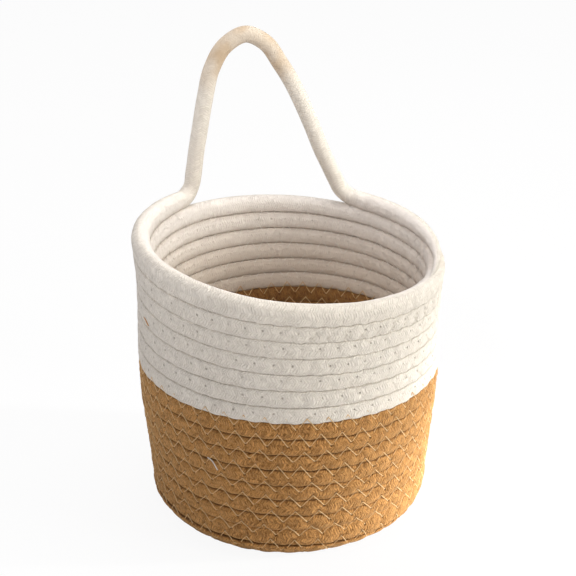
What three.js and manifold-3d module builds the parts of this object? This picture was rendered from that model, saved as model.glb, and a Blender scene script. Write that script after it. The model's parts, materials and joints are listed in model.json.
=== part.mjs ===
// Cotton rope basket. A tan rope is coiled into the base and the lower wall, and a natural
// rope is coiled on top of it. The natural rope leaves the rim at the back as a carrying
// loop, comes down again and ends in a tapered tail that is sewn onto the rim.
// Millimetres, +Z up. The origin is on the surface that the basket stands on, and the
// carrying loop stands at the back, towards +Y. Angles run clockwise seen from above,
// from the back, which is the way in which the ropes climb.

import * as THREE from "three";
import Module from "manifold-3d";
import { mergeVertices } from "three/addons/utils/BufferGeometryUtils.js";

// Rope
const ropeDiameter = 8; // across the wall, and from one turn to the next
const seamGap = 0.6; // between neighbouring turns
const endGap = 0.5; // between rope ends that face each other
const pressedShare = 0.1; // of the rope's diameter, flattened against the floor
const stepsPerTurn = 24;

// Base and wall, measured to the middle of the rope
const footRadius = 61.4;
const rimRadius = 66.8;
const cornerRadius = 10;
const tanWallTurns = 7.75; // from the top of the corner to the colour change
const naturalCourses = 7; // the rim is the last of them
const wallShares = [
  [0, 0],
  [0.3, 0.18],
  [0.66, 0.36],
  [0.82, 0.54],
  [0.78, 0.8],
  [1, 0.95],
  [1.03, 1],
]; // share of the way from foot to rim radius, share of the wall's height
const colourChangeAngle = THREE.MathUtils.degToRad(90);

// The soft rim leans: against the even coil it stands this much lower on one side and this
// much higher on the other
const rimLean = 5;
const rimLeanAngle = THREE.MathUtils.degToRad(97);

// Start of the tan rope in the middle of the base
const coreRadius = 10;
const coreBendRadius = 5.4;
const coreBendAngle = THREE.MathUtils.degToRad(126);
const coreSteps = 8;

// Carrying loop
const footAngle = THREE.MathUtils.degToRad(39.8); // where the rope leaves the rim
const liftReach = 7; // from the bend's start to its corner, and from there to its end
const liftSteps = 6;
const leftLeanAngle = THREE.MathUtils.degToRad(8.5);
const rightLeanAngle = THREE.MathUtils.degToRad(24.5);
const loopDiameter = 7.8; // the free rope is round
const loopHeight = 58.4; // from the hinge axis to the middle of the rope at the top
const loopSides = 12;
const loopSteps = 30;
const ballSteps = 4;
const loopShares = [
  [-0.916, 0.257],
  [-0.821, 0.52],
  [-0.72, 0.73],
  [-0.515, 0.91],
  [-0.19, 1],
  [0.12, 0.92],
  [0.342, 0.75],
  [0.497, 0.615],
  [0.626, 0.478],
  [0.845, 0.21],
]; // share of half the distance between the feet, share of the loop's height

// Tail
const tailEndAngle = THREE.MathUtils.degToRad(110);
const tailFullShare = 0.25; // of the tail's length, before its taper
const tailEndShare = 0.3; // of the rope's height, left at the end of the taper

// Finishes
const naturalColour = 0xe9e2d6;
const tanColour = 0xbb8850;
const cottonRoughness = 0.95;

const fullTurn = 2 * Math.PI;
const up = new THREE.Vector3(0, 0, 1);
const ropeRadius = ropeDiameter / 2;

// Turns are counted from the colour change: below zero along the tan rope, above it along
// the natural rope. The last course of the natural rope is the rim.
const rimTurn = naturalCourses - 1;

function coilAngle(turns) {
  return colourChangeAngle + turns * fullTurn;
}

function turnsAt(angle, course) {
  return course + (angle - colourChangeAngle) / fullTurn;
}

// Profile of the middle of the rope, from the middle of the base out and up to the rim
const baseHeight = ropeRadius - pressedShare * ropeDiameter;
const baseFlat = footRadius - cornerRadius;
const cornerLength = (cornerRadius * Math.PI) / 2;
const tailTurn = turnsAt(fullTurn + tailEndAngle, rimTurn);
const wallLength = ropeDiameter * (tanWallTurns + tailTurn);
const wallCurve = new THREE.SplineCurve(
  wallShares.map(
    ([radiusShare, heightShare]) =>
      new THREE.Vector2(
        THREE.MathUtils.lerp(footRadius, rimRadius, radiusShare),
        baseHeight + cornerRadius + wallLength * heightShare,
      ),
  ),
);

function profileAt(distance) {
  if (distance < baseFlat) {
    return { point: new THREE.Vector2(distance, baseHeight), slope: 0 };
  }
  if (distance < baseFlat + cornerLength) {
    const slope = (distance - baseFlat) / cornerRadius;
    const point = new THREE.Vector2(
      baseFlat + cornerRadius * Math.sin(slope),
      baseHeight + cornerRadius * (1 - Math.cos(slope)),
    );
    return { point, slope };
  }
  const share = THREE.MathUtils.clamp((distance - baseFlat - cornerLength) / wallLength, 0, 1);
  const tangent = wallCurve.getTangentAt(share);
  return { point: wallCurve.getPointAt(share), slope: Math.atan2(tangent.y, tangent.x) };
}

const colourChangeDistance = baseFlat + cornerLength + ropeDiameter * tanWallTurns;

function rimDip(turns) {
  const share = Math.max(turns, 0) / rimTurn;
  return share * rimLean * Math.cos(coilAngle(turns) - rimLeanAngle);
}

function coilPoint(turns) {
  const { point, slope } = profileAt(colourChangeDistance + ropeDiameter * turns);
  const angle = coilAngle(turns);
  const radial = new THREE.Vector3(Math.sin(angle), Math.cos(angle), 0);
  const place = radial.clone().multiplyScalar(point.x);
  place.z = point.y - rimDip(turns);
  const along = radial.clone().multiplyScalar(Math.cos(slope)).addScaledVector(up, Math.sin(slope));
  return { place, radial, along };
}

// A ring of a rope: its middle, the direction out of the wall, the direction to the next
// turn, and half its size in both
function coilRing(turns) {
  const { place, radial, along } = coilPoint(turns);
  const out = radial.clone().multiplyScalar(along.z).addScaledVector(up, -along.dot(radial));
  const neighbours = turns + 1 < tailTurn ? [turns - 1, turns + 1] : [turns - 1];
  const spacings = neighbours.map((turn) => coilPoint(turn).place.distanceTo(place));
  const halfHeight = (Math.min(ropeDiameter, ...spacings) - seamGap) / 2;
  return { place, out, along, halfWidth: ropeRadius, halfHeight };
}

function coilRings(firstTurn, lastTurn) {
  const rings = [coilRing(firstTurn)];
  const firstStep = Math.floor(firstTurn * stepsPerTurn) + 1;
  for (let step = firstStep; step < lastTurn * stepsPerTurn; step += 1) {
    rings.push(coilRing(step / stepsPerTurn));
  }
  rings.push(coilRing(lastTurn));
  return rings;
}

// A closed tube through rings that each have the same section, a polygon of unit size
const ropeSection = [
  [0, 1],
  [1, 1 / 2],
  [1, -1 / 2],
  [0, -1],
  [-1, -1 / 2],
  [-1, 1 / 2],
];

function roundSection(sides) {
  return Array.from({ length: sides }, (_, side) => {
    const angle = ((side + 1 / 2) * fullTurn) / sides;
    return [Math.sin(angle), Math.cos(angle)];
  });
}

function ringCorners(ring, section) {
  return section.map(([across, high]) =>
    ring.place
      .clone()
      .addScaledVector(ring.out, across * ring.halfWidth)
      .addScaledVector(ring.along, high * ring.halfHeight),
  );
}

function tube(rings, section) {
  const sides = section.length;
  const positions = [];
  const faces = [];
  for (const ring of rings) {
    for (const corner of ringCorners(ring, section)) positions.push(...corner.toArray());
  }
  for (let step = 0; step < rings.length - 1; step += 1) {
    for (let side = 0; side < sides; side += 1) {
      const near = step * sides + side;
      const nearNext = step * sides + ((side + 1) % sides);
      faces.push(near, near + sides, nearNext);
      faces.push(nearNext, near + sides, nearNext + sides);
    }
  }
  const last = (rings.length - 1) * sides;
  for (let side = 1; side < sides - 1; side += 1) {
    faces.push(0, side, side + 1);
    faces.push(last, last + side + 1, last + side);
  }
  const geometry = new THREE.BufferGeometry();
  geometry.setAttribute("position", new THREE.Float32BufferAttribute(positions, 3));
  geometry.setIndex(faces);
  return geometry;
}

// The least distance between stretches of one tube that are more than half a bend apart
function leastGap(rings, section) {
  const apart = (Math.PI * ropeDiameter) / 2;
  const samples = [];
  let travelled = 0;
  rings.forEach((ring, index) => {
    if (index > 0) travelled += ring.place.distanceTo(rings[index - 1].place);
    const corners = ringCorners(ring, section);
    corners.forEach((corner, side) => {
      samples.push({ corner, travelled });
      const middle = corner.clone().lerp(corners[(side + 1) % corners.length], 1 / 2);
      samples.push({ corner: middle, travelled });
    });
  });
  let least = Infinity;
  samples.forEach((sample, index) => {
    for (let other = index + 1; other < samples.length; other += 1) {
      if (samples[other].travelled - sample.travelled > apart) {
        least = Math.min(least, sample.corner.distanceTo(samples[other].corner));
      }
    }
  });
  return least;
}

// The tan rope starts as a straight stub in the middle of the base and bends round it
function coreRings(firstTurn) {
  const { place, radial } = coilPoint(firstTurn);
  const heading = radial.clone().cross(up).multiplyScalar(coreRadius);
  heading.addScaledVector(radial, ropeDiameter / fullTurn).normalize();
  const inward = heading.clone().cross(up);
  const middle = place.clone().addScaledVector(inward, coreBendRadius);
  const rings = [];
  for (let step = 0; step < coreSteps; step += 1) {
    const angle = coreBendAngle * (1 - step / coreSteps);
    const along = inward.clone().negate().applyAxisAngle(up, angle);
    const bendPlace = middle.clone().addScaledVector(along, coreBendRadius);
    rings.push({ place: bendPlace, along, heading: along.clone().cross(up) });
  }
  const stub = { ...rings[0] };
  stub.place = stub.place.clone().addScaledVector(stub.heading, -ropeDiameter);
  rings.unshift(stub);
  const halfHeight = (ropeDiameter - seamGap) / 2;
  return rings.map(({ place: middlePlace, along }) => ({
    place: middlePlace,
    out: up.clone().negate(),
    along,
    halfWidth: ropeRadius,
    halfHeight,
  }));
}

// Where the natural rope leaves the rim it bends up into a straight end, and the loop's
// ball is centred beyond that end, on the hinge axis
const loopRadius = loopDiameter / 2;

function lift(turns, direction, lean) {
  const { place, radial } = coilPoint(turns);
  const heading = up.clone().cross(radial).multiplyScalar(-direction);
  const leg = new THREE.Vector3(direction * Math.sin(lean), 0, Math.cos(lean));
  const axis = heading.clone().cross(leg).normalize();
  const bend = heading.angleTo(leg);
  const bendRadius = liftReach / Math.tan(bend / 2);
  const towardMiddle = axis.clone().cross(heading);
  const middle = place.clone().addScaledVector(towardMiddle, bendRadius);
  const bendEnd = place.clone().addScaledVector(heading, liftReach).addScaledVector(leg, liftReach);
  return { place, heading, leg, axis, bend, bendRadius, middle, bendEnd, direction };
}

function liftRings(foot, straight, firstRing) {
  const { heading, axis, bend, bendRadius, middle, bendEnd, leg, direction } = foot;
  const out = axis.clone().multiplyScalar(-direction);
  const rings = [];
  const addRing = (place, turned) => {
    const along = heading.clone().applyAxisAngle(axis, turned + Math.PI / 2);
    rings.push({ ...firstRing, place, out, along });
  };
  for (let step = 1; step <= liftSteps; step += 1) {
    const turned = (bend * step) / liftSteps;
    const spoke = axis.clone().cross(heading).negate().applyAxisAngle(axis, turned);
    addRing(middle.clone().addScaledVector(spoke, bendRadius), turned);
  }
  addRing(bendEnd.clone().addScaledVector(leg, straight), bend);
  return rings;
}

const leftTurn = turnsAt(fullTurn - footAngle, rimTurn);
const rightTurn = turnsAt(fullTurn + footAngle, rimTurn);
const leftFoot = lift(leftTurn, 1, leftLeanAngle);
const rightFoot = lift(rightTurn, -1, rightLeanAngle);
const ballClearance = loopRadius + endGap;

function hingePoint(foot, straight) {
  return foot.bendEnd.clone().addScaledVector(foot.leg, straight + ballClearance);
}

const leftStraight = ropeDiameter;
const leftHinge = hingePoint(leftFoot, leftStraight);
const rightStraight = (leftHinge.z - rightFoot.bendEnd.z) / rightFoot.leg.z - ballClearance;
const rightHinge = hingePoint(rightFoot, rightStraight);

// The loop: straight legs above the feet, one smooth curve between them, ball ends below
function loopRings() {
  const middle = leftHinge.clone().lerp(rightHinge, 1 / 2);
  const halfSpan = leftHinge.distanceTo(rightHinge) / 2;
  const leftStart = leftHinge.clone().addScaledVector(leftFoot.leg, loopDiameter);
  const rightStart = rightHinge.clone().addScaledVector(rightFoot.leg, loopDiameter);
  const top = loopShares.map(
    ([sideShare, heightShare]) =>
      new THREE.Vector3(
        middle.x + halfSpan * sideShare,
        middle.y,
        middle.z + loopHeight * heightShare,
      ),
  );
  const curve = new THREE.CatmullRomCurve3([leftStart, ...top, rightStart], false, "centripetal");
  const rings = [];
  const addRing = (place, heading, scale) => {
    const out = new THREE.Vector3(0, 1, 0);
    const along = heading.clone().cross(out).normalize();
    const half = loopRadius * scale;
    rings.push({ place, out, along, halfWidth: half, halfHeight: half });
  };
  const addBall = (hinge, heading, order) => {
    for (let step = 0; step < ballSteps; step += 1) {
      const shown = order > 0 ? ballSteps - step : step + 1;
      const angle = ((shown - 1 / 4) / ballSteps) * (Math.PI / 2);
      const depth = -order * loopRadius * Math.sin(angle);
      addRing(hinge.clone().addScaledVector(heading, depth), heading, Math.cos(angle));
    }
  };
  const rightHeading = rightFoot.leg.clone().negate();
  addBall(leftHinge, leftFoot.leg, 1);
  addRing(leftHinge, leftFoot.leg, 1);
  for (let step = 0; step <= loopSteps; step += 1) {
    const share = step / loopSteps;
    const heading = curve.getTangentAt(share);
    if (step === 0) heading.copy(leftFoot.leg);
    if (step === loopSteps) heading.copy(rightHeading);
    addRing(curve.getPointAt(share), heading, 1);
  }
  addRing(rightHinge, rightHeading, 1);
  addBall(rightHinge, rightHeading, -1);
  return rings;
}

// The tail lies on the turn below it and is cut down to a thin end, so that the rim steps
// down smoothly by one turn
function tailRings() {
  const steps = Math.ceil((tailTurn - rightTurn) * stepsPerTurn * 2);
  const rings = [];
  for (let step = 0; step <= steps; step += 1) {
    const share = step / steps;
    const turns = THREE.MathUtils.lerp(rightTurn, tailTurn, share);
    const ring = coilRing(turns);
    const bottom = ring.place.clone().addScaledVector(ring.along, -ring.halfHeight);
    const cutAway = THREE.MathUtils.smoothstep(share, tailFullShare, 1);
    ring.halfHeight *= THREE.MathUtils.lerp(1, tailEndShare, cutAway);
    ring.place = bottom.addScaledVector(ring.along, ring.halfHeight);
    rings.push(ring);
  }
  return rings;
}

const coreTurn = -(colourChangeDistance - coreRadius) / ropeDiameter;
const tanEndTurn = -endGap / (fullTurn * profileAt(colourChangeDistance).point.x);
const tanRings = [...coreRings(coreTurn), ...coilRings(coreTurn, tanEndTurn)];
const wallRings = coilRings(0, leftTurn);
const naturalRings = [
  ...wallRings,
  ...liftRings(leftFoot, leftStraight, wallRings[wallRings.length - 1]),
];
const landedRings = tailRings();
const rightRings = [
  ...liftRings(rightFoot, rightStraight, landedRings[0]).reverse(),
  ...landedRings,
];
const carryingRings = loopRings();
const loopSection = roundSection(loopSides);

// The base is pressed flat where it stands
async function pressedFlat(geometry) {
  const wasm = await Module();
  wasm.setup();
  const solid = (source) => {
    const bare = source.toNonIndexed();
    bare.deleteAttribute("normal");
    bare.deleteAttribute("uv");
    const merged = mergeVertices(bare);
    return new wasm.Manifold(
      new wasm.Mesh({
        numProp: 3,
        vertProperties: merged.getAttribute("position").array,
        triVerts: new Uint32Array(merged.index.array),
      }),
    );
  };
  const floorSide = 4 * rimRadius;
  const floor = new THREE.BoxGeometry(floorSide, floorSide, ropeDiameter);
  floor.translate(0, 0, -ropeDiameter / 2);
  const cut = solid(geometry).subtract(solid(floor)).getMesh();
  const pressed = new THREE.BufferGeometry();
  pressed.setAttribute("position", new THREE.Float32BufferAttribute(cut.vertProperties, 3));
  pressed.setIndex([...cut.triVerts]);
  return pressed;
}

function cotton(color) {
  return new THREE.MeshStandardMaterial({ color, roughness: cottonRoughness, metalness: 0 });
}

function piece(name, geometry, color) {
  geometry.computeVertexNormals();
  const mesh = new THREE.Mesh(geometry, cotton(color));
  mesh.name = name;
  return mesh;
}

function ropeLength(rings) {
  return rings.reduce(
    (sum, ring, index) => (index ? sum + ring.place.distanceTo(rings[index - 1].place) : 0),
    0,
  );
}

for (const [name, rings, section] of [
  ["tan_rope", tanRings, ropeSection],
  ["natural_rope", naturalRings, ropeSection],
]) {
  const gap = leastGap(rings, section).toFixed(2);
  const metres = (ropeLength(rings) / 1000).toFixed(2);
  console.log(`${name}: ${metres} m of rope, least gap to itself ${gap} mm`);
}

const basket = new THREE.Group();
basket.add(
  piece("tan_rope", await pressedFlat(tube(tanRings, ropeSection)), tanColour),
  piece("natural_rope", tube(naturalRings, ropeSection), naturalColour),
  piece("carrying_loop", tube(carryingRings, loopSection), naturalColour),
  piece("rope_tail", tube(rightRings, ropeSection), naturalColour),
);

export default basket;
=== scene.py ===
"""Cotton rope basket: a tan rope and a natural rope, coiled and sewn with a zigzag seam.

Lengths in the path functions are millimetres, as in the solids, and become metres when a
mesh is made. Turns of the coil are counted from the colour change: below zero along the
tan rope, above it along the natural rope. Angles run clockwise seen from above, from the
back, where the carrying loop stands.
"""

import json
import math

import bpy
import numpy as np
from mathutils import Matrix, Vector


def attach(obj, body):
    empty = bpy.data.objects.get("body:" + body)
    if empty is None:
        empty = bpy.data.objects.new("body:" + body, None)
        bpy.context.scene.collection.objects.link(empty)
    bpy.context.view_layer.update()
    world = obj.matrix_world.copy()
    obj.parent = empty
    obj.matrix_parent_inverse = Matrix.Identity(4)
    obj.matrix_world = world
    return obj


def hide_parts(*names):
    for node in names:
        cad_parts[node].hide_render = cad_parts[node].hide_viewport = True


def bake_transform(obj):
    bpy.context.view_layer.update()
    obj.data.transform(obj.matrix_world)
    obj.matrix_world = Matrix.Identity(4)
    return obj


bl_info = {
    "name": "Rope Basket",
    "version": (1, 0, 0),
    "blender": (4, 5, 0),
    "location": "View3D > Sidebar > Basket",
    "description": "Builds a coiled cotton rope basket around its solids",
    "category": "Object",
}

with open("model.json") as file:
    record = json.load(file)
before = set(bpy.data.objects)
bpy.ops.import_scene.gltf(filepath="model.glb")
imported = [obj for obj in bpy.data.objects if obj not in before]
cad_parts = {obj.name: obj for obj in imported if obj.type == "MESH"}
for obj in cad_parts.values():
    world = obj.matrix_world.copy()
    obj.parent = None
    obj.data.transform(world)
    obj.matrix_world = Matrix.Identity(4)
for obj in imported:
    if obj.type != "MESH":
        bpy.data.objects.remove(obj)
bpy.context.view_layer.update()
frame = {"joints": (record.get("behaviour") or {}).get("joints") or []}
HINGE = Vector(frame["joints"][0]["pos_m"])

MM = 0.001
FULL_TURN = 2 * math.pi
SEED = 7

# Coil, as in the solids
ROPE = 8.0
FOOT_RADIUS = 61.4
RIM_RADIUS = 66.8
CORNER_RADIUS = 10.0
TAN_WALL_TURNS = 7.75
RIM_TURN = 6
WALL_SHARES = (  # of the way out from foot to rim, and of the height
    (0, 0),
    (0.3, 0.18),
    (0.66, 0.36),
    (0.82, 0.54),
    (0.78, 0.8),
    (1, 0.95),
    (1.03, 1),
)
COLOUR_CHANGE_ANGLE = math.radians(90)
RIM_LEAN = 5.0
RIM_LEAN_ANGLE = math.radians(97)
PRESSED_SHARE = 0.1  # of the rope, that it is pressed flat against the ground
COLOUR_GAP = 0.5  # mm between the ends of the two ropes

# The sewn courses aren't quite even: they wander, and on the front left, where the rim has
# settled, the rope of the rim bulges up by as much
WANDERS = ((1.43, 0.32, 0.6), (2.61, 0.2, 2.1))  # waves a turn, reach, start
WANDER_EASE = 0.4  # turns before the loop's foot in which they end
BULGE = 0.2
BASE_EASE = 20  # mm of height in which the unevenness sets in
SETTLE = 1.2
SETTLE_ANGLE = math.radians(210)
CROWN_LOW = 3.5
CROWN_RISE = 1.7
CROWN_EASE = 0.03  # turns
MOST_BELOW = 4.8  # most that a turn reaches down to the next one, and up
MOST_ABOVE = 5.4

# Shape of the rope's faces: how much squarer than round, and how the turns lie together
COLOUR_EASE = 0.05  # turns
TAN_FULLNESS = 2.4
NATURAL_FULLNESS = 3.8
CROWN_FULLNESS = 0.3
NATURAL_FILL = 0.3
FLAT_FROM = 0.965  # of the half height: beyond this the turns are pressed flat together
INNER_SEAM = 0.76  # of the half width, on the inner face
SEAM_GAP = 0.05  # mm on either side of the seam
SEAM_WAVE = 0.28  # mm that the seam moves up and down with every stitch
CORNER_FILL = 3.5  # closes the seam where the base bends up, times the splay

# How hard the stitches pull, at least and by how much more at the angle: hardest on the
# front right, and again in the turn below the rim
TAN_PULL = (0.65, 0.55)
NATURAL_PULL = (0.25, 0.7)
PUCKER_ANGLE = math.radians(130)
UNDER_RIM = (5.0, 5.34)
UNDER_RIM_EASES = (0.06, 0.08)
UNDER_RIM_PULL = 0.7

# Carrying loop
FOOT_ANGLE = math.radians(39.8)  # of either foot, from the back
LIFT_REACH = 7.0  # of the bend between rim and leg, along either of them
LIFT_POINTS = 16
LEFT_LEAN_ANGLE = math.radians(8.5)
RIGHT_LEAN_ANGLE = math.radians(24.5)
LOOP_HEIGHT = 58.4
LOOP_OVERLAP = 6  # mm of each leg below the hinge that belong to the loop
TURN_OVER = 30  # mm in which the loop's outer side turns to the back
LOOP_SHARES = (
    (-0.916, 0.257),
    (-0.821, 0.52),
    (-0.72, 0.73),
    (-0.515, 0.91),
    (-0.19, 1),
    (0.12, 0.92),
    (0.342, 0.75),
    (0.497, 0.615),
    (0.626, 0.478),
    (0.845, 0.21),
)

# Tail
TAIL_END_ANGLE = math.radians(110)
TAIL_FULL_SHARE = 0.25  # of the solid tail's length, before the rope starts to thin
TAIL_REACH_SHARE = 1.36  # the sleeve thins out beyond the solid's blunt end
TAIL_THIN_SHARE = 0.97  # of the thickness, gone at the tip
TAIL_WIDTH_POWER = 0.8  # it stays wider than it is high

# Heights between which the loop's cotton gets its warm tint
WARM_FROM = 180
WARM_TO = 202

# How far the rope and the thread keep off the ground
FLOOR_GAP = 0.12
THREAD_GAP = 0.02

# Stitches
STITCH_ABOVE = 0.34  # of a course, from the seam up to where the needle went in
STITCH_BELOW = 0.38
STITCH_SHRINK = 0.03  # share that the stitches get shorter with every turn up
STITCH_LONGEST = 1.18
SEAM_BRIDGE = 0.13  # of a course, on either side of the seam: the thread bridges the groove

UP = np.array([0.0, 0.0, 1.0])
BACK = np.array([0.0, 1.0, 0.0])


# Sizes and colours


def length_property(name, description, default):
    return bpy.props.FloatProperty(
        name=name, description=description, default=default, unit="LENGTH", subtype="DISTANCE"
    )


def colour_property(name, description, default):
    return bpy.props.FloatVectorProperty(
        name=name, description=description, default=default, subtype="COLOR"
    )


class BasketSizes(bpy.types.PropertyGroup):
    rope: length_property("Rope", "Thickness of the sewn rope, through the wall", 0.008)
    loop_rope: length_property("Loop", "Thickness of the free rope in the loop", 0.0078)
    stitch: length_property("Stitch", "Length of one zigzag along the seam", 0.0084)
    thread: length_property("Thread", "Thickness of the sewing thread", 0.00042)
    dimple: length_property("Dimple", "How deep a stitch pulls into the rope", 0.00075)


class BasketColours(bpy.types.PropertyGroup):
    tan: colour_property("Tan rope", "Colour of the dyed rope", (0.50, 0.25, 0.08))
    natural: colour_property("Natural rope", "Colour of the undyed rope", (0.8, 0.746, 0.661))
    thread: colour_property("Thread", "Colour of the sewing thread", (0.72, 0.50, 0.255))


# Paths of the ropes, in millimetres


def unit(vectors):
    return vectors / np.linalg.norm(vectors, axis=-1, keepdims=True)


def travelled(points):
    steps = np.linalg.norm(np.diff(points, axis=0), axis=1)
    return np.concatenate([[0.0], np.cumsum(steps)])


def blended(first, second, share):
    """The first where the share is 0 and the second where it is 1."""
    return first * (1 - share) + second * share


def smooth(share):
    share = np.clip(share, 0, 1)
    return share * share * (3 - 2 * share)


def hermite(start, end, leave, reach, count):
    """Points of the smooth curve from start to end that leaves and arrives like this."""
    return [
        start
        + leave * share
        + (3 * (end - start) - 2 * leave - reach) * share**2
        + (2 * (start - end) + leave + reach) * share**3
        for share in np.linspace(0, 1, count, endpoint=False)
    ]


def wall_table():
    """Points of the wall's middle line, evenly spread over its length: radius and height."""
    shares = np.array(WALL_SHARES, float)
    radius = FOOT_RADIUS + (RIM_RADIUS - FOOT_RADIUS) * shares[:, 0]
    knots = np.stack([radius, BASE_HEIGHT + CORNER_RADIUS + WALL_LENGTH * shares[:, 1]], 1)
    knots = np.concatenate([knots[:1], knots, knots[-1:]])
    points = []
    for before, start, end, after in zip(knots, knots[1:], knots[2:], knots[3:]):
        points += hermite(start, end, (end - before) / 2, (after - start) / 2, WALL_STEPS)
    points = np.array([*points, knots[-1]])
    length = travelled(points)
    even = np.linspace(0, length[-1], WALL_ROWS)
    return np.stack([np.interp(even, length, points[:, axis]) for axis in (0, 1)], 1)


def turn_at(angle, course):
    return course + (angle - COLOUR_CHANGE_ANGLE) / FULL_TURN


WALL_STEPS = 80  # from one point of the outline to the next
WALL_ROWS = 1200
TURN_STEP = 1 / 360
BASE_RING_STEP = 2.0  # mm from ring to ring in the base, which is mostly out of sight
RING_STEP = 1.0
BASE_HEIGHT = ROPE / 2 - PRESSED_SHARE * ROPE
BASE_FLAT = FOOT_RADIUS - CORNER_RADIUS
CORNER_LENGTH = CORNER_RADIUS * math.pi / 2
TAIL_TURN = turn_at(FULL_TURN + TAIL_END_ANGLE, RIM_TURN)
LEFT_TURN = turn_at(FULL_TURN - FOOT_ANGLE, RIM_TURN)
RIGHT_TURN = turn_at(FULL_TURN + FOOT_ANGLE, RIM_TURN)
WALL_LENGTH = ROPE * (TAN_WALL_TURNS + TAIL_TURN)
COLOUR_CHANGE_DISTANCE = BASE_FLAT + CORNER_LENGTH + ROPE * TAN_WALL_TURNS
START_TURN = -(COLOUR_CHANGE_DISTANCE + ROPE / 3) / ROPE
TAIL_TIP_TURN = RIGHT_TURN + (TAIL_TURN - RIGHT_TURN) * TAIL_REACH_SHARE
WALL = wall_table()
WALL_SLOPE = np.arctan2(np.gradient(WALL[:, 1]), np.gradient(WALL[:, 0]))


def bulges(angle, height):
    """Slow waves round the wall, in and out, so that the coil isn't perfectly round."""
    draw = np.random.RandomState(SEED)
    wave = np.zeros_like(angle)
    for lobes in (2, 3, 4, 6, 9):
        start, climb = draw.uniform(0, FULL_TURN), draw.uniform(0.02, 0.07)
        wave += np.sin(lobes * angle + start + climb * height) / math.sqrt(lobes)
    return BULGE * wave


def wander(turns):
    """How far the courses wander up and down, up to the first foot of the loop."""
    waves = sum(
        reach * np.sin(count * turns * FULL_TURN + start) for count, reach, start in WANDERS
    )
    return waves * smooth((LEFT_TURN - turns) / WANDER_EASE)


def angle_at(turns):
    return COLOUR_CHANGE_ANGLE + turns * FULL_TURN


def facing(turns, angle):
    """1 where the wall faces this way and 0 on the other side."""
    return 0.5 + 0.5 * np.cos(angle_at(turns) - angle)


def settled(turns):
    """How far the courses have sunk at these turns, from 0 to 1."""
    return facing(turns, SETTLE_ANGLE) ** 1.5 * smooth(turns / (RIM_TURN - 1))


def crown(turns):
    """1 where no rope lies above this one, 0 where one does."""

    def after(turn):
        return smooth((turns - turn) / CROWN_EASE + 0.5)

    between_feet = after(LEFT_TURN - 1) - after(RIGHT_TURN - 1)
    return np.clip(between_feet + after(TAIL_TURN - 0.98), 0, 1)


def coil(turns):
    """Middle, outward direction and upward direction of the coil at these turns."""
    turns = np.atleast_1d(np.asarray(turns, float))
    distance = COLOUR_CHANGE_DISTANCE + ROPE * turns
    slope = np.clip((distance - BASE_FLAT) / CORNER_RADIUS, 0, math.pi / 2)
    radius = np.where(distance < BASE_FLAT, distance, BASE_FLAT + CORNER_RADIUS * np.sin(slope))
    radius = np.maximum(radius, (distance + ROPE / 2) / 2)
    height = BASE_HEIGHT + CORNER_RADIUS * (1 - np.cos(slope))
    share = np.clip((distance - BASE_FLAT - CORNER_LENGTH) / WALL_LENGTH, 0, 1)
    even = np.linspace(0, 1, len(WALL))
    on_wall = distance > BASE_FLAT + CORNER_LENGTH
    radius = np.where(on_wall, np.interp(share, even, WALL[:, 0]), radius)
    height = np.where(on_wall, np.interp(share, even, WALL[:, 1]), height)
    slope = np.where(on_wall, np.interp(share, even, WALL_SLOPE), slope)
    angle = angle_at(turns)
    dip = np.maximum(turns, 0) / RIM_TURN * RIM_LEAN * np.cos(angle - RIM_LEAN_ANGLE)
    above_base = smooth(height / BASE_EASE - 0.3)
    radius = radius + above_base * bulges(angle, height)
    height = height + above_base * (wander(turns) - SETTLE * settled(turns))
    radial = np.stack([np.sin(angle), np.cos(angle), np.zeros_like(angle)], 1)
    place = radial * radius[:, None]
    place[:, 2] = height - dip
    along = radial * np.cos(slope)[:, None] + UP * np.sin(slope)[:, None]
    out = radial * np.sin(slope)[:, None] - UP * np.cos(slope)[:, None]
    return place, out, along


def half_heights(turns):
    """Half the way down to the turn below and up to the turn above."""
    place = coil(turns)[0]
    below = np.linalg.norm(place - coil(turns - 1)[0], axis=1) / 2
    above = np.linalg.norm(place - coil(turns + 1)[0], axis=1) / 2
    above = blended(above, CROWN_LOW + CROWN_RISE * settled(turns), crown(turns))
    core = np.hypot(place[:, 0], place[:, 1])
    below = np.where(core < 1.5 * ROPE, ROPE / 2, below)
    below = np.minimum(below, np.minimum(MOST_BELOW, core))
    return below, np.minimum(above, np.where(core < ROPE / 2, core, MOST_ABOVE))


def splayed(turns):
    """How much wider a turn is per millimetre outwards, because the wall bends there."""
    distance = COLOUR_CHANGE_DISTANCE + ROPE * turns - BASE_FLAT
    start = smooth(distance / ROPE + 0.5)
    end = smooth((CORNER_LENGTH - distance) / ROPE + 0.5)
    return start * end / CORNER_RADIUS


def seam_table():
    """Turns of the lower rope along the whole seam, and the standard stitches up to there."""
    turns = np.arange(START_TURN + 0.1, TAIL_TIP_TURN - 1, TURN_STEP * 2)
    middle = (coil(turns)[0] + coil(turns + 1)[0]) / 2
    scale = np.minimum(1 - STITCH_SHRINK * turns, STITCH_LONGEST)
    steps = np.diff(travelled(middle)) / scale[1:]
    return turns, np.concatenate([[0.0], np.cumsum(steps)])


SEAM_TURNS, SEAM_WAY = seam_table()


def seam_way(turns):
    """Way along the seam above these turns, with every stitch counted as equally long."""
    return np.interp(turns, SEAM_TURNS, SEAM_WAY)


def natural(turns):
    """0 on the tan rope and 1 on the natural rope."""
    return smooth(turns / COLOUR_EASE + 0.5)


def puckered(turns):
    """How hard the stitches pull at these turns."""
    front = facing(turns, PUCKER_ANGLE)
    tan_pull = TAN_PULL[0] + TAN_PULL[1] * front
    natural_pull = NATURAL_PULL[0] + NATURAL_PULL[1] * front**2
    start, end = UNDER_RIM
    ease_in, ease_out = UNDER_RIM_EASES
    under_rim = smooth((turns - start) / ease_in) * smooth((end - turns) / ease_out)
    return np.where(turns > 0, natural_pull, tan_pull) + UNDER_RIM_PULL * under_rim


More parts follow.
